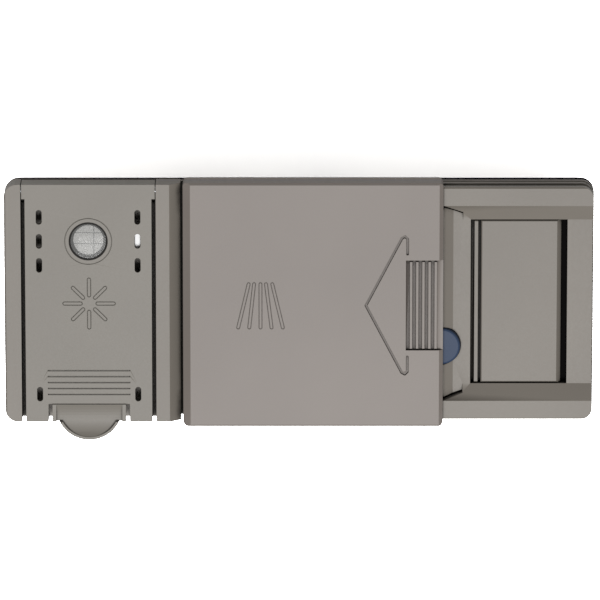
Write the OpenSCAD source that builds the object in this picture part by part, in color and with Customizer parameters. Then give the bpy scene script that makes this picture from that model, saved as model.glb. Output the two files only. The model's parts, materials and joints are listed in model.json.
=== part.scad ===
// Dishwasher detergent dispenser with a sliding detergent cover and a hinged rinse-aid lid.
// Millimetres. The face looks along +Z, the hinge of the rinse-aid lid is at +Y, and the
// origin is the middle of the plane in which the flange seals against the inner door.

/* [Flange and face] */
// Height of the flange
frame_h = 94; // [92:0.5:96]
// Width of the bar at the pocket's end
end_bar_w = 10.4; // [9.5:0.1:11]
// How far the flange stands back under the left block
flange_back = 0.3; // [0.2:0.1:0.6]
// Thickness of the flange
flange_t = 2; // [1.6:0.1:2.4]
// Corner radius of the flange
flange_r = 5; // [4:0.5:6]
// Height of the face above the sealing plane
face_z = 12; // [11.5:0.1:13]
// Wall thickness of the mouldings
wall = 2; // [1.7:0.1:2.2]
// Gap between mouldings that move past each other
gap = 0.3; // [0.25:0.01:0.35]
// Radial clearance of pins and shafts
fit = 0.05; // [0.03:0.01:0.08]
// Small chamfer on the outer edges of the face
edge = 0.6; // [0.3:0.1:0.9]

/* [Door gasket] */
// Thickness of the door gasket with its bead
gasket_t = 4.2; // [3.6:0.1:4.8]
// Width of the door gasket
gasket_w = 3.1; // [2.8:0.1:3.3]
// Height of the bead on the door gasket
bead_h = 0.9; // [0.6:0.1:1.2]

/* [Rinse-aid side] */
// Width of the bar on the outer side of the lid
bar_w = 6.5; // [6:0.1:7.5]
// Width of the bar between the lid and the cover
centre_bar_w = 5.3; // [5:0.1:6]
// Run of the slope beside the cover
centre_slope = 4.3; // [4:0.1:4.6]
// Width of the rinse-aid lid
lid_w = 49.4; // [48:0.2:51]
// Gap on each side of the rinse-aid lid
lid_gap = 1.6; // [1.3:0.1:1.8]
// How far the block stands out over the flange
block_over = 0.6; // [0.4:0.1:0.8]
// Height of the bay floor under the lid
bay_z = 3; // [2.8:0.1:3.3]
// Thickness of the skirts under the lid
lid_skirt_t = 1.5; // [1.2:0.1:1.8]
// Distance of the hinge axis from the top edge of the lid
hinge_in = 3.1; // [3:0.05:3.3]
// Distance of the hinge axis below the face
hinge_down = 4; // [3.8:0.1:4.2]
// Radius of the hinge pins
hinge_pin_r = 1.5; // [1.2:0.1:1.7]
// Depth of the hinge pins in the bars
hinge_pin_in = 4; // [3:0.2:4.4]
// Length of the lid's hinge ears along its side
ear_len = 5.8; // [5.4:0.1:6.2]
// Thickness of the hinge ears
ear_t = 3.3; // [2.8:0.1:3.8]

/* [Lid details] */
// Distance of the vent slots from the middle line of the lid
slot_dx = 19.2; // [18:0.2:20]
// Width of a vent slot
slot_w = 2.3; // [2:0.1:2.6]
// Length of a vent slot
slot_len = 5.8; // [5.4:0.1:6.4]
// Pitch of the vent slots
slot_pitch = 9.6; // [9:0.1:10.4]
// Distance of the sight window and the upper vent slots from the top of the lid
window_in = 22.6; // [21:0.2:24]
// Distance of the lower vent slots from the bottom of the lid
low_slot_in = 11.2; // [10:0.2:12]
// Radius of the sight window
window_r = 6.9; // [6.5:0.1:7.2]
// Width of the dark ring round the sight window
window_ring_w = 0.6; // [0.5:0.05:0.8]
// Width of the ledge that carries the sight window
window_ledge = 1; // [0.8:0.1:1.2]
// Half length of the grip lines on the lid
grip_line_half = 16.1; // [15:0.1:17]
// Distance of the upper grip line from the bottom of the lid
grip_line_in = 20.7; // [20:0.1:21.5]
// Pitch of the grip lines on the lid
grip_line_pitch = 2.4; // [2.2:0.05:2.5]
// Half width of the spring tongue on the lid
tongue_half = 14.4; // [14:0.1:15]
// Width of the slits beside the tongue
slit_w = 1.5; // [1.3:0.1:1.8]
// Length of the slits beside the tongue
slit_len = 7.2; // [6.6:0.1:7.6]
// Radius of the finger tab
tab_r = 12.9; // [12:0.1:13.5]
// How far the finger tab stands out of the lid
tab_out = 7.3; // [6.5:0.1:7.6]
// Thickness of the finger tab
tab_t = 3.4; // [3.1:0.1:3.8]
// Depth of the dish in the finger tab
dish_d = 1.5; // [1.2:0.1:1.7]
// Width of the rim round the dish
dish_rim = 1.1; // [0.9:0.1:1.4]

/* [Rinse-aid tank] */
// Depth of the housings behind the sealing plane
rear_d = 34; // [33:0.5:36]
// Distance of the housings from the clamp screw bosses
rear_gap = 1.3; // [1.1:0.1:1.6]
// Corner radius of the tank
tank_r = 6; // [4:0.5:8]
// Bore radius of the filler neck
filler_r = 9.5; // [8.5:0.25:10]
// Wall of the filler neck
filler_wall = 2.5; // [2:0.1:2.8]
// Height of the filler neck above the bay floor
filler_h = 4.5; // [4.2:0.1:4.8]
// Middle of the filler neck
filler_y = -15; // [-17:0.5:-14]
// Radius of the dosing dial
dial_r = 6.3; // [5.5:0.1:6.6]
// Height of the dosing dial
dial_h = 4.2; // [3.8:0.1:4.6]
// Radius of the dosing dial's stem
dial_stem_r = 2.5; // [2.2:0.1:3]
// Middle of the dosing dial
dial_y = 5.5; // [5:0.25:6]
// Length of the dial's boss below the bay floor
dial_boss_h = 5; // [4:0.5:6]
// Radius of the level prism
prism_r = 5.2; // [4.8:0.1:5.4]
// Depth of the level prism below the bay floor
prism_d = 28; // [24:0.5:30]

/* [Rails and floor] */
// How far the rails stand back from the edge of the flange
rail_step = 0.4; // [0.3:0.1:0.6]
// Width of a rail
rail_w = 7.5; // [7.3:0.1:7.7]
// Thickness of the rail's outer lip
lip_t = 3; // [2.8:0.1:3.3]
// Height of the groove under the lip
groove_h = 4; // [3.8:0.1:4.3]
// Depth of the groove under the lip
groove_d = 4.6; // [4.4:0.1:4.8]
// Depth of the floor below the face
floor_drop = 3.7; // [3.4:0.1:3.8]
// Height of the deck above the floor
deck_rise = 1.7; // [1.5:0.1:1.8]
// Run of the ramp from the deck to the floor
ramp_run = 3.7; // [3:0.1:4.5]
// Run of the slopes along the floor
slope_run = 6.2; // [5.8:0.1:6.4]
// Width of the guide slots beside the rails
guide_w = 1.8; // [1.6:0.1:2]
// Width of the flared grooves at the ends of the guide slots
flare_w = 0.8; // [0.6:0.1:1]
// Distance from the cover to the end of its channel
channel_out = 7.8; // [7:0.2:8.4]
// Distance from the channel's end to the pocket
pocket_off = 3; // [2.6:0.1:3.6]
// Length of the pocket
pocket_w = 37.7; // [36.5:0.1:38.2]
// Width of the drain slot beside the panel
drain_w = 2.4; // [2:0.1:3]
// Width of the left edge strip of the panel
panel_edge = 1.4; // [1.1:0.1:1.7]
// Width of the lines beside the edge strip
panel_line = 1.2; // [0.9:0.1:1.4]
// Depth of the lines in the panel
panel_line_d = 3.2; // [2:0.1:3.5]
// Height of the black strip in the drain slot
strip_h = 2.6; // [2:0.1:3.2]
// Run of the bevel on the panel's right edge
panel_bevel = 1.6; // [1.2:0.1:2]

/* [Detergent chamber] */
// Distance of the chamber from the cover's left edge
chamber_in = 5.4; // [5:0.1:6]
// Width of the chamber
chamber_w = 52; // [50:0.5:53]
// Distance of the chamber's welded wall from the housings' outline
chamber_back = 0.2; // [0.1:0.05:0.4]
// Corner radius of the chamber
chamber_r = 8; // [6:0.5:10]
// Depth of the chamber's floor below the sealing plane
chamber_d = 22; // [18:0.5:23]
// Width of the rim round the chamber
rim_w = 2; // [1.6:0.1:2.2]
// Height of the rim above the deck
rim_h = 1.2; // [1:0.1:1.3]
// Draft of the chamber's walls on each side
chamber_draft = 1; // [0.5:0.1:1.5]
// Bevel round the chamber's floor
chamber_bevel = 5; // [3:0.5:7]

/* [Sliding cover] */
// Length of the cover beyond the chamber, over the latch
latch_room = 44.1; // [43.6:0.1:44.6]
// Thickness of the cover
cover_t = 2.7; // [2.5:0.1:3]
// Gap between the cover and the slope beside it
cover_gap = 0.9; // [0.7:0.05:1.1]
// Thickness of the cover's skirts
skirt_t = 1.9; // [1.6:0.1:2.1]
// Distance of the skirts above the flange
skirt_up = 2; // [1.6:0.1:2.4]
// Thickness of the lips that run in the rail grooves
runner_t = 2.2; // [1.8:0.1:2.6]
// Run of the chamfer on the closing edge
nose_run = 2.9; // [2.4:0.1:3.2]
// Chamfer of the opening edge
tail_edge = 1.5; // [1:0.1:1.7]
// Corner radius of the cover
cover_r = 1.8; // [1.2:0.1:2.4]
// Thickness of the guide blades
blade_t = 1.2; // [1:0.1:1.3]
// Length of the guide blades
blade_len = 41; // [36:1:41]
// Travel of the cover
cover_travel = 58.5; // [56:0.5:58.5]
// Width of the cover's seal
seal_w = 4; // [3.4:0.1:4.4]
// Depth of the seal's groove
seal_in = 1; // [0.8:0.1:1.2]

/* [Cover grip] */
// Length of the ribbed grip across the cover
grip_w = 13; // [12:0.1:13.5]
// Half height of the ribbed grip
grip_half = 18; // [17:0.5:19]
// Depth of the ribbed grip
grip_d = 1.5; // [1.2:0.1:1.6]
// Pitch of the grip's ribs
rib_pitch = 2.4; // [2.1:0.05:2.5]
// Width of a grip rib
rib_w = 1; // [0.8:0.1:1.2]
// Depth of the rib tops below the face of the cover
rib_down = 0.3; // [0.2:0.1:0.5]
// Distance of the arrow's tip from the opening edge
arrow_tip = 30.1; // [28:0.2:32]
// Distance of the arrow's legs from the opening edge
arrow_back = 13.9; // [13.6:0.1:14.4]
// Half height of the arrow
arrow_half = 27.6; // [26:0.2:29]
// Length of the arrow's legs
arrow_leg = 6; // [5:0.2:7]
// Width of the arrow's groove
arrow_w = 1; // [0.8:0.05:1.2]
// Depth of the arrow's groove
arrow_d = 0.7; // [0.5:0.05:0.8]

/* [Release button and latch] */
// Radius of the release button
button_r = 7.3; // [7:0.1:7.6]
// Distance of the button's middle inside the opening edge
button_in = 0.4; // [0:0.1:1]
// Distance of the button's middle from the housing screws across the cover
button_off = 12; // [11.6:0.1:12.4]
// Height of the button above the floor
button_up = 2.5; // [2.2:0.1:2.6]
// Radial gap round the button
button_gap = 0.25; // [0.2:0.01:0.3]
// Width of the button's collar
collar_w = 1.3; // [1:0.1:1.5]
// Thickness of the button's collar
collar_t = 1.8; // [1.5:0.1:2.1]
// Height of the button's cap
cap_h = 6.6; // [6.2:0.1:7]
// Radius of the latch lever's pivot pin
lever_pin_r = 1.5; // [1.2:0.1:1.7]
// Thickness of the latch lever's arms
arm_t = 3; // [2.6:0.1:3.2]
// Width of the latch lever's arms
arm_w = 8; // [7:0.2:8.4]
// Distance of the lever's hub from the housing's wall
hub_gap = 0.4; // [0.3:0.1:0.6]
// Distance of the hook from the button's middle
hook_back = 11.1; // [10.8:0.1:11.4]
// Thickness of the hook
hook_t = 3.4; // [3:0.1:3.8]
// Thickness of the strike under the cover
strike_t = 2.2; // [1.8:0.1:2.6]
// Height of the strike under the cover
strike_h = 0.9; // [0.8:0.05:1]
// Half width of the strike
strike_half = 6; // [5.5:0.25:7]

/* [Actuator] */
// Depth of the plunger's axis below the sealing plane
plunger_d = 19; // [18.5:0.1:19.4]
// Radius of the plunger
plunger_r = 4.4; // [4:0.1:4.6]
// Length of the plunger
plunger_len = 33; // [32:0.25:33.5]
// Radius of the push rod
push_r = 1.5; // [1.2:0.1:1.7]
// Outer radius of the winding
coil_r = 10; // [9.5:0.1:10.2]
// Outer radius of the bobbin's flanges
bobbin_r = 11; // [10.7:0.1:11.1]
// Thickness of the bobbin
bobbin_t = 1.2; // [1:0.1:1.4]
// Length of the yoke
yoke_len = 36; // [35:0.25:36.5]
// Thickness of the yoke's plates
yoke_t = 1.6; // [1.4:0.1:1.8]
// Half width of the yoke
yoke_half = 12; // [11.5:0.1:12.5]
// Width of a terminal tab
tab_w = 6.3; // [6:0.1:6.5]
// Thickness of a terminal tab
tab_thick = 0.8; // [0.7:0.05:0.9]
// Distance of the terminal tabs from the ends of the bobbin
tab_in = 6; // [5:0.5:7]
// Thickness of the terminal block
block_t = 4; // [3.6:0.1:4.4]
// Height of the terminal block
block_h = 6; // [5.5:0.1:6.5]
// Length of a terminal tab out of its block
terminal_len = 8; // [7:0.2:8.6]
// Distance of the push rod's guide from the lever's pivot
push_guide_off = 16; // [14:0.5:18]
// Distance of the dosing rod's guides from the chamber's ends
rod_guide_in = 12; // [10:0.5:16]
// Half width of the dosing rod
rod_half = 3; // [2.6:0.1:3.2]
// Thickness of the dosing rod
rod_t = 3; // [2.6:0.1:3.2]
// Radius of the dosing valve's stem
stem_r = 2; // [1.8:0.1:2.2]

/* [Fixings] */
// Distance of the clamp screws from the ends of the frame
clamp_in_x = 27; // [26:0.5:28]
// Distance of the clamp screws from the flange's long edges
clamp_in_y = 7; // [6.9:0.1:7.3]
// Radius of the clamp screw holes
clamp_r = 1.6; // [1.4:0.1:1.8]
// Radius of the clamp screw bosses
clamp_boss_r = 3.5; // [3.2:0.1:3.6]
// Length of the clamp screw bosses
clamp_boss_h = 12; // [10:0.5:14]
// Radius of the housing screws
screw_r = 1.45; // [1.3:0.05:1.6]
// Radius of the housing screws' heads
screw_head_r = 2.7; // [2.5:0.1:2.8]
// Distance of the housing screws inside the housing's corners
post_in = 5.7; // [5.5:0.1:6]

/* [Springs] */
// Wire radius of the cover spring
cover_wire_r = 0.25; // [0.2:0.05:0.3]
// Mean coil radius of the cover spring
cover_coil_r = 1.55; // [1.45:0.05:1.6]
// Turns of the cover spring
cover_turns = 34; // [30:1:36]
// Wire radius of the return springs
wire_r = 0.35; // [0.3:0.05:0.4]
// Turns of the return springs
spring_turns = 5; // [4:1:6]

/* [Hidden] */
$fn = 48;

// Places along the frame
cover_w = chamber_in + chamber_w + latch_room;
lid_side_w = bar_w + lid_w + 2 * lid_gap + centre_bar_w + centre_slope + cover_gap;
frame_w = lid_side_w + cover_w + channel_out + pocket_off + pocket_w + end_bar_w;
x_left = -frame_w / 2;
x_right = frame_w / 2;
bay_x0 = x_left + bar_w;
bay_x1 = bay_x0 + lid_w + 2 * lid_gap;
lid_x0 = bay_x0 + lid_gap;
lid_x1 = lid_x0 + lid_w;
lid_cx = (lid_x0 + lid_x1) / 2;
slope_x0 = bay_x1 + centre_bar_w;
slope_x1 = slope_x0 + centre_slope;
cover_x0 = slope_x1 + cover_gap;
cover_x1 = cover_x0 + cover_w;
chamber_x0 = cover_x0 + chamber_in;
chamber_x1 = chamber_x0 + chamber_w;
chamber_cx = (chamber_x0 + chamber_x1) / 2;
channel_x1 = cover_x1 + channel_out;
flare_x0 = cover_x1 + gap;
pocket_x0 = channel_x1 + pocket_off;
pocket_x1 = pocket_x0 + pocket_w;
floor_x1 = x_right - rail_step - 0.2;
deck_x0 = cover_x0 + 0.6;
clamp_x = frame_w - 2 * clamp_in_x;

// Places across the frame
block_half = frame_h / 2 + block_over;
clamp_y = frame_h - 2 * clamp_in_y;
rear_half = clamp_y / 2 - clamp_boss_r - rear_gap;
chamber_h = 2 * (rear_half - chamber_back - wall);
rail_out = frame_h / 2 - rail_step;
rail_in = rail_out - rail_w;
rail_web = rail_out - groove_d;
floor_half = rail_in - slope_run;
guide_in = rail_in - guide_w;
blade_y = rail_in - (guide_w - blade_t) / 2 - blade_t;
skirt_in = rail_out + gap;
skirt_out = skirt_in + skirt_t;
post_y = rear_half - post_in;
button_y = button_off - post_y;

// Heights
floor_z = face_z - floor_drop;
deck_z = floor_z + deck_rise;
rim_z = deck_z + rim_h;
groove_z1 = face_z - lip_t;
groove_z0 = groove_z1 - groove_h;
cover_z0 = face_z + gap;
cover_z1 = cover_z0 + cover_t;
lid_z0 = face_z - wall;
bay_under = bay_z - wall;
block_z0 = flange_t - 0.5;
back_z = -rear_d;
tub_z0 = -chamber_d - wall;

// Rinse-aid lid
lid_half = block_half;
window_y = lid_half - window_in;
low_slot_y = low_slot_in - lid_half;
grip_line_y = grip_line_in - lid_half;
hinge_y = lid_half - hinge_in;
hinge_z = face_z - hinge_down;
swing_r = norm([hinge_in, hinge_z - bay_z - gap]) + gap;
ear_y0 = lid_half - ear_len;
window_z0 = lid_z0 - 0.4;
collar_z0 = window_z0 - 1.2;
window_hole_r = window_r + window_ring_w + 2 * fit;
tab_cy = -lid_half - tab_out + tab_r;
tongue_y = -lid_half + slit_len;

// Tank and what stands in its roof
tank_x0 = bay_x0 + wall - 0.5;
tank_x1 = slope_x1 - wall - 1.1;
prism_top = collar_z0 - gap;
vent_x = lid_cx + slot_dx;

// Cover
chamfer_y = 0.8;
runner_z1 = groove_z1 - gap;
blade_z0 = groove_z0 - 1;
seal_z0 = rim_z + gap;
seal_out = (seal_w - rim_w) / 2;
button_x = cover_x1 - button_in;

// Latch
button_z1 = floor_z + button_up;
cap_z0 = button_z1 - cap_h;
foot_z = arm_t / 2 + gap;
hub_r = lever_pin_r + 2.1;
house_x0 = chamber_x1 + 2 * wall;
pivot_x = house_x0 + wall + hub_r + hub_gap;
hook_x0 = button_x - hook_back;
hook_z1 = cover_z0 - strike_h - gap;
strike_x1 = hook_x0 - gap;
tail_x0 = pivot_x + 1;
tail_x1 = tail_x0 + arm_t;
hub_y0 = button_y - arm_w / 2;
hub_y1 = arm_w / 2 + 1;
lever_ear_t = 3;

// Actuator housing
house_x1 = pocket_x1 + wall + 1.4;
house_floor = back_z + wall;
post_x0 = house_x0 + post_in;
post_x1 = house_x1 - post_in;
post_z1 = -8;
screw_seat_z = post_z1 - wall;
yoke_x1 = house_x1 - 10;
yoke_x0 = yoke_x1 - yoke_len;
yoke_z0 = house_floor;
yoke_z1 = -plunger_d + bobbin_r + 1;
bobbin_x0 = yoke_x0 + yoke_t + 0.1;
bobbin_x1 = yoke_x1 - yoke_t - 0.1;
core_r = plunger_r + 0.1 + bobbin_t;
plunger_x1 = yoke_x1 + 5.8;
plunger_x0 = plunger_x1 - plunger_len;
plunger_head_t = 1.5;
block_y = -yoke_half - block_t;
term_z0 = -plunger_d - block_h / 2;
tab_y = block_y + block_t / 2;
rod_z = back_z + 5;
window_y1 = tab_y + 0.5;
window_y0 = window_y1 - 10;
guide_x0 = pivot_x + push_guide_off;
guide_x1 = guide_x0 + 3;
spring_seat_z = -12;

// Cover spring in its trough along the lower guide slot
trough_y1 = -guide_in + fit;
trough_y0 = -rail_web - 0.1;
spring_y = -blade_y - blade_t - 0.35 - cover_wire_r + 0.1;
spring_z = -0.5;
trough_z0 = spring_z - cover_coil_r - cover_wire_r - 0.5;
trough_z1 = groove_z0 - 2.4;
blade_x0 = cover_x0 + 1.4;
lug_x = blade_x0 + 2;
lug_r = 0.9;
anchor_x = channel_x1 + 0.3;

module box(x0, x1, y0, y1, z0, z1) {
  translate([x0, y0, z0])
    cube([x1 - x0, y1 - y0, z1 - z0]);
}

// Rounded rectangle about the origin
module round_rect(w, h, r) {
  square([w - 2 * r, h], center = true);
  square([w, h - 2 * r], center = true);
  for (sx = [-1, 1], sy = [-1, 1])
    translate([sx * (w / 2 - r), sy * (h / 2 - r)])
      circle(r);
}

// Rounded block between two heights
module round_block(cx, w, h, r, z0, z1) {
  translate([cx, 0, z0])
    linear_extrude(z1 - z0)
      round_rect(w, h, r);
}

// A profile drawn in Y and Z, carried along X
module along_x(x0, x1) {
  translate([x0, 0, 0])
    rotate([90, 0, 90])
      linear_extrude(x1 - x0)
        children();
}

// A profile drawn in X and Z, carried along Y
module along_y(y0, y1) {
  translate([0, y1, 0])
    rotate([90, 0, 0])
      linear_extrude(y1 - y0)
        children();
}

module on_both_sides() {
  children();
  mirror([0, 1, 0])
    children();
}

module post(x, y, r, z0, z1) {
  translate([x, y, z0])
    cylinder(r = r, h = z1 - z0);
}

module rod_x(x0, x1, y, z, r) {
  translate([x0, y, z])
    rotate([0, 90, 0])
      cylinder(r = r, h = x1 - x0);
}

module rod_y(x, y0, y1, z, r) {
  translate([x, y1, z])
    rotate([90, 0, 0])
      cylinder(r = r, h = y1 - y0);
}

// Straight stroke with round ends
module stroke(p, q, w) {
  run = q - p;
  translate(p)
    rotate(atan2(run[1], run[0])) {
      translate([0, -w / 2])
        square([norm(run), w]);
      circle(d = w);
      translate([norm(run), 0])
        circle(d = w);
    }
}

// Upright slot with round ends
module obround(w, len) {
  stroke([0, -(len - w) / 2], [0, (len - w) / 2], w);
}

// Wire swept through rings, each given as a middle and two unit vectors across the wire
module wire(rings, r, sides) {
  count = len(rings);
  corners = [for (ring = rings, k = [0:sides - 1])
    ring[0] + r * (cos(360 * k / sides) * ring[1] + sin(360 * k / sides) * ring[2])];
  sleeve = [for (i = [0:count - 2], k = [0:sides - 1])
    [i * sides + k, i * sides + (k + 1) % sides,
     (i + 1) * sides + (k + 1) % sides, (i + 1) * sides + k]];
  start = [for (k = [sides - 1:-1:0]) k];
  end = [for (k = [0:sides - 1]) (count - 1) * sides + k];
  polyhedron(points = corners, faces = concat([start], sleeve, [end]), convexity = 4);
}

// Ring of a coil about the X axis at one angle
function coil_ring(x, angle, r) =
  [[x, r * cos(angle), r * sin(angle)], [0, cos(angle), sin(angle)], [-1, 0, 0]];

function coil_rings(x0, x1, r, turns, steps, start) =
  [for (i = [0:turns * steps])
    coil_ring(x0 + (x1 - x0) * i / (turns * steps), start + 360 * i / steps, r)];

// Compression spring along X with closed ends
module coil_spring(len, r, wire_r, turns, steps, sides) {
  x0 = wire_r;
  x1 = len - wire_r;
  pitch = (len - 2 * wire_r) / turns;
  closed = min(pitch, 2.2 * wire_r);
  wire(concat(
      coil_rings(x0, x0 + closed, r, 1, steps, 0),
      [for (ring = coil_rings(x0 + closed, x1 - closed, r, turns, steps, 0))
        if (ring[0][0] > x0 + closed + 0.01) ring],
      [for (ring = coil_rings(x1 - closed, x1, r, 1, steps, 0))
        if (ring[0][0] > x1 - closed + 0.01) ring]),
    wire_r, sides);
}

// Frame

// Block on the outline of the flange, or inside it by some amount
module flange_block(inside, z0, z1) {
  round_block(flange_back / 2, frame_w - flange_back - 2 * inside, frame_h - 2 * inside,
    flange_r - inside, z0, z1);
}

module rail_profile() {
  polygon([[rail_in, 0], [rail_in, face_z], [rail_out - edge, face_z],
    [rail_out, face_z - edge], [rail_out, groove_z1], [rail_web, groove_z1],
    [rail_web, groove_z0], [rail_out, groove_z0], [rail_out, 0]]);
}

module slope_profile() {
  polygon([[floor_half, 0], [floor_half, floor_z], [rail_in, face_z],
    [rail_in + 1, face_z], [rail_in + 1, 0]]);
}

// Deck, ramp and floor as seen from the side, with its top moved down by some amount
module deck_profile(down) {
  polygon([[deck_x0, -1], [deck_x0, deck_z - down], [flare_x0, deck_z - down],
    [flare_x0 + ramp_run, floor_z - down], [x_right + 1, floor_z - down], [x_right + 1, -1]]);
}

module block_solid() {
  intersection() {
    along_y(-block_half, block_half)
      polygon([[x_left, block_z0], [x_left, face_z - edge], [x_left + edge, face_z],
        [slope_x0, face_z], [slope_x1, floor_z], [slope_x1, block_z0]]);
    round_block(0, frame_w, 2 * block_half, flange_r, block_z0, face_z);
  }
}

// Rails, floor and deck on the cover's side
module channel_solid() {
  intersection() {
    union() {
      on_both_sides()
        along_x(deck_x0, x_right)
          rail_profile();
      intersection() {
        box(deck_x0, floor_x1, -rail_in - 0.5, rail_in + 0.5, 0, face_z);
        along_y(-rail_in - 0.5, rail_in + 0.5)
          deck_profile(0);
      }
      on_both_sides()
        difference() {
          along_x(flare_x0, floor_x1)
            slope_profile();
          channel_plan(floor_z, face_z);
        }
    }
    round_block(0, frame_w - 2 * rail_step, 2 * rail_out, flange_r - rail_step, 0, face_z);
  }
}

// Plan of the upright-walled channel in which the cover's underside runs
module channel_plan(z0, z1) {
  translate([0, 0, z0])
    linear_extrude(z1 - z0 + 1)
      polygon([[flare_x0 - 1, 0], [channel_x1, 0], [channel_x1, rail_in - slope_run / 2 + gap],
        [flare_x0, rail_in], [flare_x0 - 1, rail_in]]);
}

module guide_slots() {
  on_both_sides() {
    box(blade_x0 - 2, flare_x0, guide_in, rail_in, blade_z0 - 1, face_z + 1);
    translate([0, 0, floor_z - 1.5])
      linear_extrude(face_z)
        stroke([flare_x0 - flare_w, rail_in - flare_w / 2],
          [channel_x1 - flare_w / 2, rail_in - slope_run / 2 + gap - flare_w / 2], flare_w);
  }
}

module spring_trough() {
  difference() {
    box(blade_x0 - 1 - wall, anchor_x + lug_r + 2 + wall, trough_y0 - 1.4, trough_y1 + 1.7,
      trough_z0 - 1.5, 0.5);
    trough_hollow();
  }
}

module trough_hollow() {
  box(blade_x0 - 1, anchor_x + lug_r + 2, trough_y0, trough_y1, trough_z0, trough_z1);
  box(blade_x0 - 1, flare_x0, -rail_in, -guide_in, trough_z0, face_z);
}

// Openings under the mouldings that are welded or screwed on from behind
module rear_recesses() {
  box(tank_x0 - 0.2, tank_x1 + 0.2, -rear_half - 0.2, rear_half + 0.2, -1, bay_under);
  round_block(chamber_cx, chamber_w + 2 * wall + 0.4, chamber_h + 2 * wall + 0.4,
    chamber_r + wall + 0.2, -1, deck_z - wall);
  intersection() {
    box(house_x0 + wall, pocket_x0 - wall, -rear_half + wall, rear_half - wall, -1, face_z);
    along_y(-rear_half, rear_half)
      deck_profile(wall);
  }
}

module pocket_hollow() {
  box(pocket_x0, pocket_x1, -floor_half, floor_half, wall, face_z);
}

module lid_bay() {
  box(bay_x0, bay_x1, -frame_h, frame_h, bay_z, face_z + 1);
  box(bay_x0, bay_x1, hinge_y - swing_r, frame_h, flange_t, face_z + 1);
}

module filler_neck() {
  difference() {
    union() {
      post(lid_cx, filler_y, filler_r + filler_wall, bay_under, bay_z + filler_h);
      post(lid_cx, filler_y, filler_r + wall, bay_under - 4, bay_z);
    }
    post(lid_cx, filler_y, filler_r, bay_under - 5, bay_z + filler_h + 1);
  }
}

module lever_ears() {
  for (y = [hub_y0 - gap - lever_ear_t, hub_y1 + gap])
    difference() {
      union() {
        rod_y(pivot_x, y, y + lever_ear_t, 0, hub_r);
        box(pivot_x - hub_r, pivot_x + hub_r, y, y + lever_ear_t, 0, deck_z - wall + 0.5);
      }
      rod_y(pivot_x, y - 1, y + lever_ear_t + 1, 0, lever_pin_r + fit);
    }
}

module housing_bosses() {
  for (sy = [-1, 1]) {
    post(post_x0, sy * post_y, 3, post_z1, deck_z - wall + 0.5);
    post(post_x1, sy * post_y, 3, post_z1, 0.5);
  }
}

module front_frame() {
  color([0.56, 0.54, 0.51])
    difference() {
      union() {
        difference() {
          union() {
            flange_block(0, 0, flange_t);
            block_solid();
            channel_solid();
            round_block(chamber_cx, chamber_w + 2 * rim_w, chamber_h + 2 * rim_w,
              chamber_r + rim_w, deck_z - 0.5, rim_z);
          }
          rear_recesses();
          lid_bay();
          pocket_hollow();
          guide_slots();
          trough_hollow();
        }
        spring_trough();
        rod_y(anchor_x, trough_y0 - 0.5, trough_y1 + 0.5, spring_z, lug_r);
        filler_neck();
        post(lid_cx, dial_y, dial_stem_r + wall, bay_under - dial_boss_h, bay_z);
        lever_ears();
        housing_bosses();
        for (sx = [-1, 1], sy = [-1, 1])
          post(sx * clamp_x / 2, sy * clamp_y / 2, clamp_boss_r, -clamp_boss_h, 0.5);
      }
      round_block(chamber_cx, chamber_w, chamber_h, chamber_r, -1, rim_z + 1);
      post(button_x, button_y, button_r + button_gap, 0, face_z);
      box(hook_x0 - 0.8, hook_x0 + hook_t + 2.2, -arm_w / 2 - 0.6, arm_w / 2 + 0.6, 0, face_z);
      post(lid_cx, filler_y, filler_r, bay_under - 5, bay_z + 1);
      post(lid_cx, dial_y, dial_stem_r + fit, bay_under - dial_boss_h - 1, bay_z + 1);
      post(lid_cx, window_y, prism_r + fit, bay_under - 1, bay_z + 1);
      post(vent_x, window_y, stem_r + fit, bay_under - 1, bay_z + 1);
      rod_x(bay_x0 - hinge_pin_in - fit, bay_x0 + 1, hinge_y, hinge_z, hinge_pin_r + fit);
      rod_x(bay_x1 - 1, bay_x1 + hinge_pin_in + fit, hinge_y, hinge_z, hinge_pin_r + fit);
      for (sx = [-1, 1], sy = [-1, 1])
        post(sx * clamp_x / 2, sy * clamp_y / 2, clamp_r, -clamp_boss_h - 1, bay_z - 1.5);
      for (x = [post_x0, post_x1], sy = [-1, 1])
        post(x, sy * post_y, screw_r + fit, post_z1 - 1, 0);
    }
}

module door_gasket() {
  color([0.08, 0.08, 0.08])
    difference() {
      union() {
        flange_block(0, bead_h - gasket_t, 0);
        flange_block(0.7, -gasket_t, bead_h - gasket_t + 0.5);
      }
      flange_block(gasket_w, -gasket_t - 1, 1);
      flange_block(gasket_w - 1, -gasket_t - 1, bead_h - gasket_t);
    }
}

// Detergent chamber

module tub_form(grow, z0, z1) {
  w = chamber_w + 2 * grow;
  h = chamber_h + 2 * grow;
  r = chamber_r + grow;
  hull() {
    round_block(chamber_cx, w, h, r, z1 - 0.5, z1, $fn = 32);
    round_block(chamber_cx, w - 2 * chamber_draft, h - 2 * chamber_draft, r,
      z0 + chamber_bevel, z0 + chamber_bevel + 0.1, $fn = 32);
    round_block(chamber_cx, w - 2 * chamber_draft - 2 * chamber_bevel,
      h - 2 * chamber_draft - 2 * chamber_bevel, max(r - chamber_bevel, 2), z0, z0 + 0.1, $fn = 32);
  }
}

module rod_guide(x) {
  difference() {
    box(x - 3, x + 3, button_y - rod_half - 2.3, button_y + rod_half + 2.3,
      rod_z - rod_t / 2 - 2, tub_z0 + 1);
    box(x - 4, x + 4, button_y - rod_half - gap, button_y + rod_half + gap,
      rod_z - rod_t / 2 - gap, rod_z + rod_t / 2 + gap);
  }
}

module detergent_tub() {
  color([0.60, 0.58, 0.55])
    difference() {
      union() {
        tub_form(wall, tub_z0, deck_z - wall);
        rod_guide(chamber_x0 + rod_guide_in);
        rod_guide(chamber_x1 - rod_guide_in);
      }
      tub_form(0, -chamber_d, deck_z - wall + 1);
    }
}

// Rinse-aid side

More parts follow.
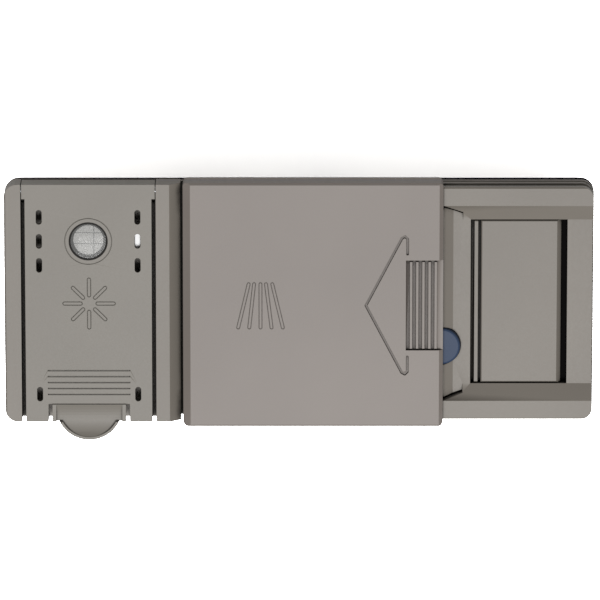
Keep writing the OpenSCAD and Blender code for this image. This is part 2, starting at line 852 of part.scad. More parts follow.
module rinse_tank() {
  cx = (tank_x0 + tank_x1) / 2;
  w = tank_x1 - tank_x0;
  seal_r = stem_r + 2;
  color([0.60, 0.58, 0.55])
    difference() {
      union() {
        round_block(cx, w, 2 * rear_half, tank_r, back_z, bay_under);
        rod_x(tank_x1 - 1, tank_x1 + 3, button_y, rod_z, seal_r + 1);
      }
      round_block(cx, w - 2 * wall, 2 * (rear_half - wall), tank_r - wall, back_z + wall, bay_under + 1);
      rod_x(tank_x1 - wall - 1, tank_x1 + 2, button_y, rod_z, stem_r + 0.3);
      rod_x(tank_x1, tank_x1 + 4, button_y, rod_z, seal_r);
    }
}

module lid_slots() {
  for (sx = [-1, 1]) {
    for (k = [-1, 0, 1])
      translate([lid_cx + sx * slot_dx, window_y + k * slot_pitch, 0])
        linear_extrude(face_z + 1)
          obround(slot_w, slot_len);
    translate([lid_cx + sx * slot_dx, low_slot_y, 0])
      linear_extrude(face_z + 1)
        obround(slot_w, slot_len);
  }
}

module lid_grip_lines() {
  for (k = [0:4])
    box(lid_cx - grip_line_half, lid_cx + grip_line_half, grip_line_y - k * grip_line_pitch - 0.25,
      grip_line_y - k * grip_line_pitch + 0.25, face_z - 0.35, face_z + 1);
  box(lid_cx - tongue_half, lid_cx + tongue_half, tongue_y - 0.2, tongue_y + 0.2,
    face_z - 0.35, face_z + 1);
}

module finger_tab() {
  dish_half = (tab_out + slit_len - dish_rim) / 2;
  dish_r = (pow(dish_half, 2) + pow(dish_d, 2)) / (2 * dish_d);
  difference() {
    intersection() {
      post(lid_cx, tab_cy, tab_r, face_z - tab_t, face_z);
      box(lid_cx - tab_r, lid_cx + tab_r, tab_cy - tab_r - 1, tongue_y - 2.5, 0, face_z);
    }
    tab_dish(dish_half, dish_r);
  }
}

module tab_dish(dish_half, dish_r) {
  intersection() {
    rod_x(lid_cx - tab_r, lid_cx + tab_r, tongue_y - 0.2 - dish_half, face_z + dish_r - dish_d, dish_r);
    union() {
      post(lid_cx, tab_cy, tab_r - dish_rim, 0, face_z + 1);
      box(lid_cx - tongue_half, lid_cx + tongue_half, -lid_half, tongue_y, 0, face_z + 1);
    }
  }
}

module lid_shell() {
  difference() {
    union() {
      box(lid_x0, lid_x1, -lid_half, lid_half, bay_z + gap, face_z);
      box(bay_x0 + gap, bay_x1 - gap, ear_y0, lid_half, bay_z + gap, face_z);
    }
    box(lid_x0 + lid_skirt_t, lid_x1 - lid_skirt_t, -lid_half + lid_skirt_t, lid_half - lid_skirt_t,
      0, lid_z0);
    box(lid_x0 - 1, lid_x1 + 1, -lid_half + 2, ear_y0, 0, bay_z + 1.2);
  }
}

module rinse_lid() {
  dish_half = (tab_out + slit_len - dish_rim) / 2;
  dish_r = (pow(dish_half, 2) + pow(dish_d, 2)) / (2 * dish_d);
  color([0.57, 0.55, 0.52])
    difference() {
      union() {
        lid_shell();
        for (x = [bay_x0 + gap, bay_x1 - gap - ear_t])
          box(x, x + ear_t, ear_y0, lid_half - 0.5, bay_z + gap, face_z - 0.5);
        post(lid_cx, window_y, window_hole_r + 1.8, collar_z0, face_z - 0.5);
        difference() {
          post(lid_cx, filler_y, filler_r + filler_wall + 2.4, lid_z0 - 1.4, lid_z0 + 0.5);
          post(lid_cx, filler_y, filler_r + filler_wall + 1, 0, lid_z0);
        }
        finger_tab();
      }
      tab_dish(dish_half, dish_r);
      box(lid_cx - tongue_half, lid_cx + tongue_half, -lid_half - 1, -lid_half + lid_skirt_t + 1,
        0, face_z - tab_t);
      for (sx = [-1, 1])
        translate([sx * (tongue_half + slit_w / 2), 0, 0])
          box(lid_cx - slit_w / 2, lid_cx + slit_w / 2, -lid_half - 1, tongue_y, 0, face_z + 1);
      lid_slots();
      lid_grip_lines();
      post(lid_cx, window_y, window_hole_r, window_z0, face_z + 1);
      post(lid_cx, window_y, window_r - window_ledge, 0, face_z + 1);
      difference() {
        post(lid_cx, window_y, window_hole_r + 1.7, face_z - 0.2, face_z + 1);
        post(lid_cx, window_y, window_hole_r + 1.4, 0, face_z + 2);
      }
      rod_x(bay_x0, bay_x0 + gap + ear_t + 1, hinge_y, hinge_z, hinge_pin_r + fit);
      rod_x(bay_x1 - gap - ear_t - 1, bay_x1, hinge_y, hinge_z, hinge_pin_r + fit);
    }
}

module sight_window() {
  dome = 0.5;
  dome_r = (pow(window_r, 2) + pow(dome, 2)) / (2 * dome);
  color([0.85, 0.86, 0.86, 0.5])
    intersection() {
      post(lid_cx, window_y, window_r, window_z0, face_z + 1);
      translate([lid_cx, window_y, face_z + 0.2 - dome_r])
        sphere(r = dome_r, $fn = 96);
    }
}

module window_ring() {
  color([0.16, 0.15, 0.15])
    difference() {
      post(lid_cx, window_y, window_hole_r - fit, window_z0, face_z);
      post(lid_cx, window_y, window_r + fit, 0, face_z + 1);
    }
}

module lid_seal() {
  color([0.10, 0.10, 0.10])
    translate([lid_cx, filler_y, 0])
      rotate_extrude()
        polygon([[filler_r - 0.6, bay_z + filler_h + gap + 0.6], [filler_r, bay_z + filler_h + gap],
          [filler_r + filler_wall, bay_z + filler_h + gap],
          [filler_r + filler_wall + 0.8, bay_z + filler_h + gap + 0.6],
          [filler_r + filler_wall + 0.8, lid_z0], [filler_r - 0.6, lid_z0]]);
}

module lid_hinge_pins() {
  color([0.75, 0.76, 0.78]) {
    rod_x(bay_x0 - hinge_pin_in, bay_x0 + gap + ear_t, hinge_y, hinge_z, hinge_pin_r);
    rod_x(bay_x1 - gap - ear_t, bay_x1 + hinge_pin_in, hinge_y, hinge_z, hinge_pin_r);
  }
}

module level_prism() {
  color([0.88, 0.90, 0.92, 0.5])
    translate([lid_cx, window_y, 0])
      rotate_extrude()
        polygon([[0, bay_z - prism_d], [prism_r, bay_z - prism_d + prism_r], [prism_r, bay_z],
          [prism_r + 1.6, bay_z], [prism_r + 1.6, bay_z + 1.5], [prism_r, bay_z + 1.5],
          [prism_r, prism_top], [0, prism_top]]);
}

module dosing_dial() {
  stem_z0 = bay_under - dial_boss_h - gap;
  color([0.42, 0.41, 0.40])
    difference() {
      union() {
        post(lid_cx, dial_y, dial_r, bay_z + gap, bay_z + gap + dial_h);
        post(lid_cx, dial_y, dial_stem_r, stem_z0 - 2, bay_z + gap + 1);
        post(lid_cx, dial_y, dial_stem_r + 0.9, stem_z0 - 1.5, stem_z0);
      }
      box(lid_cx - dial_r, lid_cx + dial_r, dial_y - 0.7, dial_y + 0.7,
        bay_z + gap + dial_h - 1.6, face_z);
      for (k = [0:11])
        translate([lid_cx, dial_y, 0])
          rotate(30 * k)
            post(dial_r + 0.3, 0, 0.7, bay_z, face_z);
    }
}

module vent_plug() {
  color([0.96, 0.96, 0.96]) {
    post(vent_x, window_y, stem_r + 1.4, bay_z, bay_z + 1.5);
    post(vent_x, window_y, stem_r, bay_under - 2, bay_z + 1);
    translate([vent_x, window_y, bay_z + 1])
      linear_extrude(lid_z0 - gap - bay_z - 1)
        obround(slot_w - 0.2, slot_len - 0.2);
  }
}

// Pocket

module pocket_panel() {
  x0 = pocket_x0 + gap;
  x1 = pocket_x1 - drain_w;
  x2 = x0 + panel_line + panel_edge;
  x3 = x2 + panel_line;
  z1 = floor_z - gap;
  half = floor_half - gap;
  color([0.58, 0.56, 0.53])
    difference() {
      intersection() {
        along_y(-half, half)
          polygon([[x0, wall], [x0, z1 - panel_line_d], [x0 + panel_line, z1 - panel_line_d],
            [x0 + panel_line, z1], [x2, z1], [x2, z1 - panel_line_d], [x3, z1 - panel_line_d],
            [x3, z1 - 0.4], [x3 + 0.4, z1], [x1 - panel_bevel, z1],
            [x1, z1 - panel_bevel], [x1, wall]]);
        along_x(x0 - 1, x1 + 1)
          polygon([[-half, 0], [-half, z1 - 0.5], [-half + 0.5, z1], [half - 0.5, z1],
            [half, z1 - 0.5], [half, 0]]);
      }
      box(x0 + wall, x1 - wall, -half + wall, half - wall, 0, z1 - panel_line_d - wall + 0.4);
    }
}

module panel_strip() {
  color([0.05, 0.05, 0.06])
    box(pocket_x1 - drain_w + gap, pocket_x1 - gap, -floor_half + gap, floor_half - gap,
      wall, wall + strip_h);
}

// Cover

module cover_plan(z0, z1) {
  translate([(cover_x0 + cover_x1) / 2, 0, z0])
    linear_extrude(z1 - z0)
      round_rect(cover_w, 2 * skirt_out, cover_r);
}

module cover_section() {
  polygon([[0, cover_z0], [0, cover_z1], [skirt_out - chamfer_y, cover_z1],
    [skirt_out, cover_z1 - chamfer_y], [skirt_out, flange_t + skirt_up],
    [skirt_in, flange_t + skirt_up], [skirt_in, cover_z0]]);
}

module runner_profile() {
  polygon([[rail_web + 1, runner_z1 - runner_t], [rail_web + 1, runner_z1],
    [skirt_in + 0.5, runner_z1], [skirt_in + 0.5, runner_z1 - runner_t]]);
}

module cover_grip() {
  box(cover_x1 - tail_edge - grip_w, cover_x1 + 1, -grip_half, grip_half, cover_z1 - grip_d, cover_z1 + 1);
}

module grip_ribs() {
  for (k = [0:4])
    box(cover_x1 - tail_edge - 0.9 - rib_w - k * rib_pitch, cover_x1 - tail_edge - 0.9 - k * rib_pitch,
      -grip_half + 0.6, grip_half - 0.6, cover_z1 - grip_d - 0.2, cover_z1 - rib_down);
}

module arrow_groove() {
  tip = [cover_x1 - arrow_tip, 0];
  back = cover_x1 - arrow_back;
  bend = [[tip[0], 0], [back - 2.2, arrow_half - 0.7], [back - 1, arrow_half],
    [back, arrow_half - 1], [back, arrow_half - 1 - arrow_leg]];
  translate([0, 0, cover_z1 - arrow_d])
    linear_extrude(1 + arrow_d)
      for (sy = [-1, 1], i = [0:3])
        stroke([bend[i][0], sy * bend[i][1]], [bend[i + 1][0], sy * bend[i + 1][1]], arrow_w);
}

module guide_blades() {
  on_both_sides()
    box(blade_x0, blade_x0 + blade_len, blade_y, blade_y + blade_t, blade_z0, cover_z0 + 0.5);
  box(blade_x0, lug_x + 2, -blade_y - blade_t, -blade_y, spring_z - lug_r - 0.3, cover_z0 + 0.5);
  rod_y(lug_x, spring_y - cover_wire_r - 0.3, -blade_y - blade_t / 2, spring_z, lug_r);
}

module seal_block(grow, z0, z1) {
  round_block(chamber_cx, chamber_w + 2 * grow, chamber_h + 2 * grow, chamber_r + grow, z0, z1);
}

module slide_cover() {
  color([0.60, 0.57, 0.55])
    difference() {
      union() {
        difference() {
          intersection() {
            on_both_sides()
              along_x(cover_x0, cover_x1)
                cover_section();
            along_y(-skirt_out, skirt_out)
              polygon([[cover_x0, 0], [cover_x0, cover_z0], [cover_x0 + nose_run, cover_z1],
                [cover_x1 - tail_edge, cover_z1], [cover_x1, cover_z1 - tail_edge], [cover_x1, 0]]);
            cover_plan(0, cover_z1);
          }
          cover_grip();
          arrow_groove();
        }
        grip_ribs();
        on_both_sides()
          along_x(cover_x0 + 1, cover_x1 - 1)
            runner_profile();
        guide_blades();
        box(strike_x1 - strike_t, strike_x1, -strike_half, strike_half, cover_z0 - strike_h,
          cover_z0 + 0.5);
        difference() {
          seal_block(rim_w + seal_out + 1, seal_z0 + 0.4, cover_z0 + 0.5);
          seal_block(rim_w + seal_out, 0, cover_z1);
        }
      }
      difference() {
        seal_block(rim_w + seal_out, seal_z0, cover_z0 + seal_in);
        seal_block(-seal_out, 0, cover_z1);
      }
    }
}

module cover_seal() {
  color([0.20, 0.20, 0.21])
    difference() {
      union() {
        seal_block(rim_w + seal_out - fit, seal_z0 + 0.5, cover_z0 + seal_in);
        seal_block(rim_w + seal_out - 1, seal_z0, cover_z0);
      }
      seal_block(-seal_out + fit, 0, seal_z0 + 20);
      difference() {
        seal_block(1 - seal_out, 0, seal_z0 + 0.5);
        seal_block(-seal_out - 1, -1, seal_z0 + 1);
      }
    }
}

// Rings of the end loop of the cover spring, about a peg, from its top round to below it
function loop_rings(peg_x, side, r) =
  [for (a = [75:-30:-195])
    [[peg_x + side * r * cos(a), 0, r * sin(a)], [side * cos(a), 0, sin(a)], [0, -side, 0]]];

module cover_spring() {
  steps = 8;
  loop_r = cover_coil_r;
  x0 = lug_x + loop_r + 1;
  x1 = anchor_x - loop_r - 1;
  left = [for (ring = loop_rings(lug_x, -1, loop_r)) ring];
  left_back = [for (i = [len(left) - 1:-1:0]) left[i]];
  right = loop_rings(anchor_x, 1, loop_r);
  body = coil_rings(x0, x1, cover_coil_r, cover_turns, steps, 90);
  color([0.72, 0.72, 0.74])
    translate([0, spring_y, spring_z])
      wire(concat(left_back, body, right), cover_wire_r, 5);
}

// Release button and latch

module release_button() {
  color([0.29, 0.35, 0.45])
    translate([button_x, button_y, 0])
      difference() {
        union() {
          rotate_extrude()
            polygon([[0, cap_z0 + 1], [button_r, cap_z0 + 1], [button_r, button_z1 - 0.9],
              [button_r - 0.3, button_z1 - 0.3], [button_r - 0.9, button_z1], [0, button_z1 - 0.15]]);
          post(0, 0, button_r + collar_w, floor_z - wall - gap - collar_t, floor_z - wall - gap);
        }
        difference() {
          post(0, 0, button_r - 1.5, 0, button_z1 - 1.6);
          post(0, 0, 2.6, -1, button_z1);
        }
      }
  color([0.29, 0.35, 0.45])
    post(button_x, button_y, 2.6, foot_z, cap_z0 + 2);
}

module latch_lever() {
  tip_x = button_x + 5;
  rod_y0 = button_y - arm_w / 2;
  color([0.85, 0.84, 0.80])
    difference() {
      union() {
        rod_y(pivot_x, hub_y0, hub_y1, 0, hub_r);
        box(pivot_x, tip_x, rod_y0, rod_y0 + arm_w, -arm_t / 2, arm_t / 2);
        box(tail_x0, tail_x1, rod_y0, rod_y0 + arm_w, rod_z - rod_t / 2, 0);
        box(pivot_x, hook_x0 + hook_t, -arm_w / 2, arm_w / 2, -arm_t / 2, arm_t / 2);
        box(tail_x0, tail_x1, -arm_w / 2, arm_w / 2, -plunger_d - 4, 0);
        along_y(-arm_w / 2, arm_w / 2)
          polygon([[hook_x0, 0], [hook_x0, hook_z1], [hook_x0 + 0.8, hook_z1],
            [hook_x0 + hook_t, hook_z1 - 2.6], [hook_x0 + hook_t, 0]]);
      }
      rod_y(pivot_x, hub_y0 - 1, hub_y1 + 1, 0, lever_pin_r + fit);
    }
}

module lever_pin() {
  color([0.75, 0.76, 0.78])
    rod_y(pivot_x, hub_y0 - gap - lever_ear_t, hub_y1 + gap + lever_ear_t, 0, lever_pin_r);
}

module lever_spring() {
  color([0.72, 0.72, 0.74])
    translate([button_x, button_y, spring_seat_z])
      rotate([0, -90, 0])
        coil_spring(-spring_seat_z - arm_t / 2, 3.2, wire_r, spring_turns, 10, 6);
}

// Actuator

module actuator_housing() {
  cx = (house_x0 + house_x1) / 2;
  w = house_x1 - house_x0;
  color([0.52, 0.50, 0.48])
    difference() {
      union() {
        difference() {
          round_block(cx, w, 2 * rear_half, 4, back_z, 0);
          round_block(cx, w - 2 * wall, 2 * (rear_half - wall), 2, house_floor, 1);
        }
        for (x = [post_x0, post_x1], sy = [-1, 1])
          post(x, sy * post_y, screw_head_r + 1.3, back_z, post_z1);
        post(button_x, button_y, 4.2, back_z, spring_seat_z);
        post(button_x, button_y, 2.4, spring_seat_z - 1, spring_seat_z + 2.5);
        box(guide_x0, guide_x1, -push_r - 3.5, push_r + 3.5, back_z + 1, -plunger_d + push_r + 3.5);
        for (sy = [-1, 1])
          box(yoke_x0 + 4, yoke_x1 - 4, sy * (yoke_half + 1.1 + fit) - 1, sy * (yoke_half + 1.1 + fit) + 1,
            back_z + 1, house_floor + 1.2);
      }
      for (x = [post_x0, post_x1], sy = [-1, 1]) {
        post(x, sy * post_y, screw_head_r + gap, back_z - 1, screw_seat_z);
        post(x, sy * post_y, screw_r + 0.3, back_z, 0);
      }
      rod_x(guide_x0 - 1, guide_x1 + 1, 0, -plunger_d, push_r + fit);
      box(house_x0 - 1, house_x0 + wall + 1, button_y - rod_half - 0.6, button_y + rod_half + 0.6,
        rod_z - rod_t / 2 - 0.6, rod_z + rod_t / 2 + 0.6);
      box(bobbin_x0 + 1, bobbin_x1 - 1, window_y0, window_y1, back_z - 1, house_floor + 1);
    }
}

module housing_screws() {
  color([0.70, 0.71, 0.73])
    for (x = [post_x0, post_x1], sy = [-1, 1])
      translate([x, sy * post_y, 0])
        difference() {
          union() {
            post(0, 0, screw_head_r, screw_seat_z - 2, screw_seat_z);
            post(0, 0, screw_r, screw_seat_z - 0.5, -0.5);
          }
          for (a = [0, 90])
            rotate(a)
              box(-1.6, 1.6, -0.3, 0.3, screw_seat_z - 3, screw_seat_z - 1);
        }
}

module solenoid_yoke() {
  color([0.66, 0.67, 0.68])
    difference() {
      union() {
        box(yoke_x0, yoke_x1, -yoke_half, yoke_half, yoke_z0, yoke_z0 + yoke_t);
        box(yoke_x0, yoke_x0 + yoke_t, -yoke_half, yoke_half, yoke_z0, yoke_z1);
        box(yoke_x1 - yoke_t, yoke_x1, -yoke_half, yoke_half, yoke_z0, yoke_z1);
      }
      rod_x(yoke_x0 - 1, yoke_x0 + yoke_t + 1, 0, -plunger_d, push_r + 0.5);
      rod_x(yoke_x1 - yoke_t - 1, yoke_x1 + 1, 0, -plunger_d, plunger_r + 0.3);
    }
}

module coil_bobbin() {
  color([0.90, 0.88, 0.82])
    difference() {
      union() {
        rod_x(bobbin_x0, bobbin_x1, 0, -plunger_d, core_r);
        rod_x(bobbin_x0, bobbin_x0 + bobbin_t, 0, -plunger_d, bobbin_r);
        rod_x(bobbin_x1 - bobbin_t, bobbin_x1, 0, -plunger_d, bobbin_r);
        box(bobbin_x0, bobbin_x0 + bobbin_t, block_y, 0, term_z0, term_z0 + block_h);
        box(bobbin_x1 - bobbin_t, bobbin_x1, block_y, 0, term_z0, term_z0 + block_h);
        box(bobbin_x0, bobbin_x1, block_y, -yoke_half, term_z0, term_z0 + block_h);
      }
      rod_x(bobbin_x0 - 1, bobbin_x1 + 1, 0, -plunger_d, plunger_r + 0.1);
      for (x = [bobbin_x0 + tab_in, bobbin_x1 - tab_in - tab_w])
        box(x - 0.02, x + tab_w + 0.02, tab_y - tab_thick / 2 - 0.02,
          tab_y + tab_thick / 2 + 0.02, term_z0 - 1, term_z0 + 4);
    }
}

module coil_winding() {
  color([0.62, 0.30, 0.16])
    difference() {
      rod_x(bobbin_x0 + bobbin_t, bobbin_x1 - bobbin_t, 0, -plunger_d, coil_r);
      rod_x(bobbin_x0, bobbin_x1, 0, -plunger_d, core_r + fit);
    }
}

module terminal_tabs() {
  color([0.80, 0.80, 0.78])
    for (x = [bobbin_x0 + tab_in, bobbin_x1 - tab_in - tab_w])
      difference() {
        along_y(tab_y - tab_thick / 2, tab_y + tab_thick / 2)
          polygon([[x, term_z0 + 4], [x, term_z0 - terminal_len + 1.2],
            [x + 1.2, term_z0 - terminal_len], [x + tab_w - 1.2, term_z0 - terminal_len],
            [x + tab_w, term_z0 - terminal_len + 1.2], [x + tab_w, term_z0 + 4]]);
        rod_y(x + tab_w / 2, block_y, block_y + 4, term_z0 - terminal_len + 3.5, 0.8);
      }
}

module plunger() {
  color([0.70, 0.71, 0.73])
    difference() {
      union() {
        rod_x(plunger_x0, plunger_x1, 0, -plunger_d, plunger_r);
        rod_x(plunger_x1 - 0.5, plunger_x1 + plunger_head_t, 0, -plunger_d, plunger_r + 1.9);
      }
      rod_x(plunger_x0 - 1, plunger_x0 + 8, 0, -plunger_d, push_r + 0.02);
    }
}

module push_rod() {
  color([0.75, 0.62, 0.35])
    rod_x(tail_x1 + gap, plunger_x0 + 8, 0, -plunger_d, push_r);
}

module plunger_spring() {
  color([0.72, 0.72, 0.74])
    translate([yoke_x1, 0, -plunger_d])
      coil_spring(plunger_x1 - 0.5 - yoke_x1, plunger_r + 1, wire_r, spring_turns - 2, 12, 6);
}

module dosing_rod() {
  color([0.85, 0.84, 0.80]) {
    box(tank_x1 + 6.6, tail_x0 - gap, button_y - rod_half, button_y + rod_half,
      rod_z - rod_t / 2, rod_z + rod_t / 2);
    rod_x(tank_x1 - wall - 5, tank_x1 + 7, button_y, rod_z, stem_r);
  }
}

module rod_seal() {
  color([0.12, 0.12, 0.12])
    difference() {
      rod_x(tank_x1, tank_x1 + 3, button_y, rod_z, stem_r + 2 - 0.02);
      rod_x(tank_x1 - 1, tank_x1 + 4, button_y, rod_z, stem_r + fit);
    }
}

module valve_disc() {
  color([0.12, 0.12, 0.12])
    difference() {
      rod_x(tank_x1 - wall - 2.3, tank_x1 - wall - gap, button_y, rod_z, stem_r + 0.7);
      rod_x(tank_x1 - wall - 4, tank_x1, button_y, rod_z, stem_r + 0.02);
    }
}

front_frame();
door_gasket();
detergent_tub();
rinse_tank();
pocket_panel();
panel_strip();
slide_cover();
cover_seal();
cover_spring();
release_button();
latch_lever();
lever_pin();
lever_spring();
rinse_lid();
sight_window();
window_ring();
lid_seal();
lid_hinge_pins();
level_prism();
dosing_dial();
vent_plug();
actuator_housing();
housing_screws();
solenoid_yoke();
coil_bobbin();
coil_winding();
terminal_tabs();
plunger();
push_rod();
plunger_spring();
dosing_rod();
rod_seal();
valve_disc();
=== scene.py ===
import json
import math

import bmesh
import bpy
from mathutils import Matrix, Vector


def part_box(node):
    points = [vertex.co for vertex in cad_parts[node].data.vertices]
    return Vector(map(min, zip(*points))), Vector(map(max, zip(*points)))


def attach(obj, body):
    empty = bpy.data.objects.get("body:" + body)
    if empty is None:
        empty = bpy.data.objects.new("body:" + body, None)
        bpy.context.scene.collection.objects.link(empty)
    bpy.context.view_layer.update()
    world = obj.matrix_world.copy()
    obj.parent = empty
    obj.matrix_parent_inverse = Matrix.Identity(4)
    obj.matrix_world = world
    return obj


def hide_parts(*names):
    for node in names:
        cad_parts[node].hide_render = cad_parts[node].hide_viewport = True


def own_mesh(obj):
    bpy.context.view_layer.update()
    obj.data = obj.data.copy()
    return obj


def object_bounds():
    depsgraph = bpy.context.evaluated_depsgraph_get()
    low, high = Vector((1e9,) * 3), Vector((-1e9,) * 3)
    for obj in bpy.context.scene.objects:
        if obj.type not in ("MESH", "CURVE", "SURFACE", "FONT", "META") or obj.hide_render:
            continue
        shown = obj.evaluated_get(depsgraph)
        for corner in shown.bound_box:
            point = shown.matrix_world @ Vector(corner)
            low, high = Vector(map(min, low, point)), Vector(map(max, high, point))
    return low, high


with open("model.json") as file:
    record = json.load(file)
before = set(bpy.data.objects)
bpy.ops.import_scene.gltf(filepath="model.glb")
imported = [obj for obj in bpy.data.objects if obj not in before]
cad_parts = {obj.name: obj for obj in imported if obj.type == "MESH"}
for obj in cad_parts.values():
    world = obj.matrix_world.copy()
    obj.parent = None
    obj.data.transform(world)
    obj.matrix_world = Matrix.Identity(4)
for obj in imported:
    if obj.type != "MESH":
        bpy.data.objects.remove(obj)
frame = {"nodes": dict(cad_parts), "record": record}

MM = 0.001
nodes = frame["nodes"]
cad_lo, cad_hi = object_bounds()
scene = bpy.context.scene


# Materials

def srgb(r, g, b):
    """Linear colour of an 8-bit sRGB triple."""
    def lin(v):
        v = v / 255
        return v / 12.92 if v <= 0.04045 else ((v + 0.055) / 1.055) ** 2.4
    return (lin(r), lin(g), lin(b), 1.0)


def add(tree, kind, **inputs):
    node = tree.nodes.new(kind)
    for key, value in inputs.items():
        node.inputs[key.replace("_", " ")].default_value = value
    return node


def moulded(name, colour, rough=0.5, spread=0.05, grain=2600, depth=0.00002, cloud=16,
            metallic=0.0, stretch=(1, 1, 1), specular=0.5, shade=0.0, edge=0.0, bend=1.5):
    """A moulded or metal surface: soft clouding of the colour, fine grain in the bump and roughness.
    With shade above 0, narrow gaps and grooves get painted shade: ambient occlusion darkens their colour and their
    specular level.
    With edge above 0, sharp edges catch the light as if rounded by that radius."""
    mat = bpy.data.materials.new(name)
    mat.use_nodes = True
    tree = mat.node_tree
    tree.nodes.clear()
    out = tree.nodes.new("ShaderNodeOutputMaterial")
    skin = tree.nodes.new("ShaderNodeBsdfPrincipled")
    skin.inputs["Metallic"].default_value = metallic
    skin.inputs["Specular IOR Level"].default_value = specular
    skin.inputs["IOR"].default_value = bend
    tree.links.new(skin.outputs[0], out.inputs[0])
    where = tree.nodes.new("ShaderNodeTexCoord")
    place = tree.nodes.new("ShaderNodeMapping")
    place.inputs["Scale"].default_value = stretch
    tree.links.new(where.outputs["Object"], place.inputs[0])

    big = add(tree, "ShaderNodeTexNoise", Scale=float(cloud), Detail=3.0)
    fine = add(tree, "ShaderNodeTexNoise", Scale=float(grain), Detail=2.0)
    tree.links.new(place.outputs[0], big.inputs["Vector"])
    tree.links.new(place.outputs[0], fine.inputs["Vector"])

    ramp = tree.nodes.new("ShaderNodeValToRGB")
    low = [c * (1 - spread) for c in colour[:3]] + [1.0]
    high = [c * (1 + spread) for c in colour[:3]] + [1.0]
    ramp.color_ramp.elements[0].position = 0.3
    ramp.color_ramp.elements[0].color = low
    ramp.color_ramp.elements[1].position = 0.7
    ramp.color_ramp.elements[1].color = high
    tree.links.new(big.outputs["Fac"], ramp.inputs[0])
    # Painted shade: ambient occlusion darkens the base colour and the specular level in narrow gaps and grooves.
    if shade:
        near = add(tree, "ShaderNodeAmbientOcclusion", Distance=0.005)
        near.samples = 8
        painted_shade = tree.nodes.new("ShaderNodeMapRange")
        painted_shade.inputs["From Min"].default_value = 0.32
        painted_shade.inputs["From Max"].default_value = 0.7
        painted_shade.inputs["To Min"].default_value = 1.0 - shade
        tree.links.new(near.outputs["AO"], painted_shade.inputs["Value"])
        dim = tree.nodes.new("ShaderNodeVectorMath")
        dim.operation = "SCALE"
        tree.links.new(ramp.outputs[0], dim.inputs[0])
        tree.links.new(painted_shade.outputs[0], dim.inputs["Scale"])
        tree.links.new(dim.outputs[0], skin.inputs["Base Color"])
        shaded_gleam = tree.nodes.new("ShaderNodeMath")
        shaded_gleam.operation = "MULTIPLY"
        shaded_gleam.inputs[1].default_value = specular
        tree.links.new(painted_shade.outputs[0], shaded_gleam.inputs[0])
        tree.links.new(shaded_gleam.outputs[0], skin.inputs["Specular IOR Level"])
    else:
        tree.links.new(ramp.outputs[0], skin.inputs["Base Color"])

    shine = tree.nodes.new("ShaderNodeMapRange")
    shine.inputs["To Min"].default_value = max(rough - 0.08, 0.02)
    shine.inputs["To Max"].default_value = min(rough + 0.08, 1.0)
    tree.links.new(fine.outputs["Fac"], shine.inputs["Value"])
    tree.links.new(shine.outputs[0], skin.inputs["Roughness"])

    bump = tree.nodes.new("ShaderNodeBump")
    bump.inputs["Strength"].default_value = 0.5
    bump.inputs["Distance"].default_value = depth
    tree.links.new(fine.outputs["Fac"], bump.inputs["Height"])
    if edge:
        round_off = add(tree, "ShaderNodeBevel", Radius=edge)
        round_off.samples = 6
        tree.links.new(round_off.outputs[0], bump.inputs["Normal"])
    tree.links.new(bump.outputs[0], skin.inputs["Normal"])
    return mat


def clear(name, colour, rough, solid):
    """Clear moulded plastic with a faint waviness; solid is the share that doesn't let light through."""
    mat = moulded(name, colour, rough=rough, spread=0.02, grain=500, depth=0.00001, cloud=200)
    skin = next(n for n in mat.node_tree.nodes if n.type == "BSDF_PRINCIPLED")
    skin.inputs["Alpha"].default_value = solid
    return mat


frame_grey = moulded("frame_grey", srgb(122, 116, 108), rough=0.5, shade=0.92, edge=0.2 * MM)
cover_grey = moulded("cover_grey", srgb(127, 119, 113), rough=0.5, shade=0.85, edge=0.2 * MM)
lid_grey = moulded("lid_grey", srgb(122, 117, 109), rough=0.5, shade=0.92, edge=0.2 * MM)
panel_grey = moulded("panel_grey", srgb(120, 114, 106), rough=0.5, shade=0.92, edge=0.2 * MM)
tank_grey = moulded("tank_grey", srgb(170, 166, 160), rough=0.5, spread=0.04)
housing_grey = moulded("housing_grey", srgb(150, 146, 141), rough=0.55)
gasket_black = moulded("gasket_black", srgb(16, 15, 15), rough=0.85, spread=0.12, grain=1800, specular=0.1, bend=1.1)
seal_grey = moulded("seal_grey", srgb(70, 70, 72), rough=0.6, spread=0.08, grain=1800)
button_blue = moulded("button_blue", srgb(46, 62, 88), rough=0.55, spread=0.06, specular=0.35, edge=0.2 * MM)
acetal = moulded("acetal", srgb(222, 219, 210), rough=0.4, spread=0.03)
dial_grey = moulded("dial_grey", srgb(128, 125, 122), rough=0.5)
vent_white = moulded("vent_white", srgb(246, 246, 246), rough=0.4, spread=0.01)
# Near-black window ring: painted shade for the gap round the sight window.
ring_gap_shade = moulded("ring_gap_shade", srgb(36, 34, 33), rough=0.75, spread=0.1, specular=0.2)
steel = moulded("steel", srgb(186, 188, 192), rough=0.3, spread=0.04, metallic=1.0, stretch=(1, 14, 14))
zinc = moulded("zinc", srgb(178, 180, 182), rough=0.38, spread=0.06, metallic=1.0, cloud=60)
spring_wire = moulded("spring_wire", srgb(190, 190, 194), rough=0.24, spread=0.05, metallic=1.0)
brass = moulded("brass", srgb(196, 164, 96), rough=0.3, spread=0.05, metallic=1.0)
copper = moulded("copper", srgb(176, 96, 58), rough=0.34, spread=0.1, metallic=0.9, grain=900,
                 depth=0.0001, stretch=(1, 0.02, 0.02))
window_clear = clear("window_clear", srgb(236, 236, 233), 0.12, 0.15)
prism_clear = clear("prism_clear", srgb(226, 230, 232), 0.12, 0.4)
facet_white = moulded("facet_white", srgb(126, 124, 120), rough=0.5, spread=0.12, cloud=700,
                     depth=0.000003, specular=0.3)
# Near-black for the plate's grooves: painted shade.
facet_groove_shade = moulded("facet_groove_shade", srgb(40, 39, 38), rough=0.7, spread=0.1, cloud=700, specular=0.2)

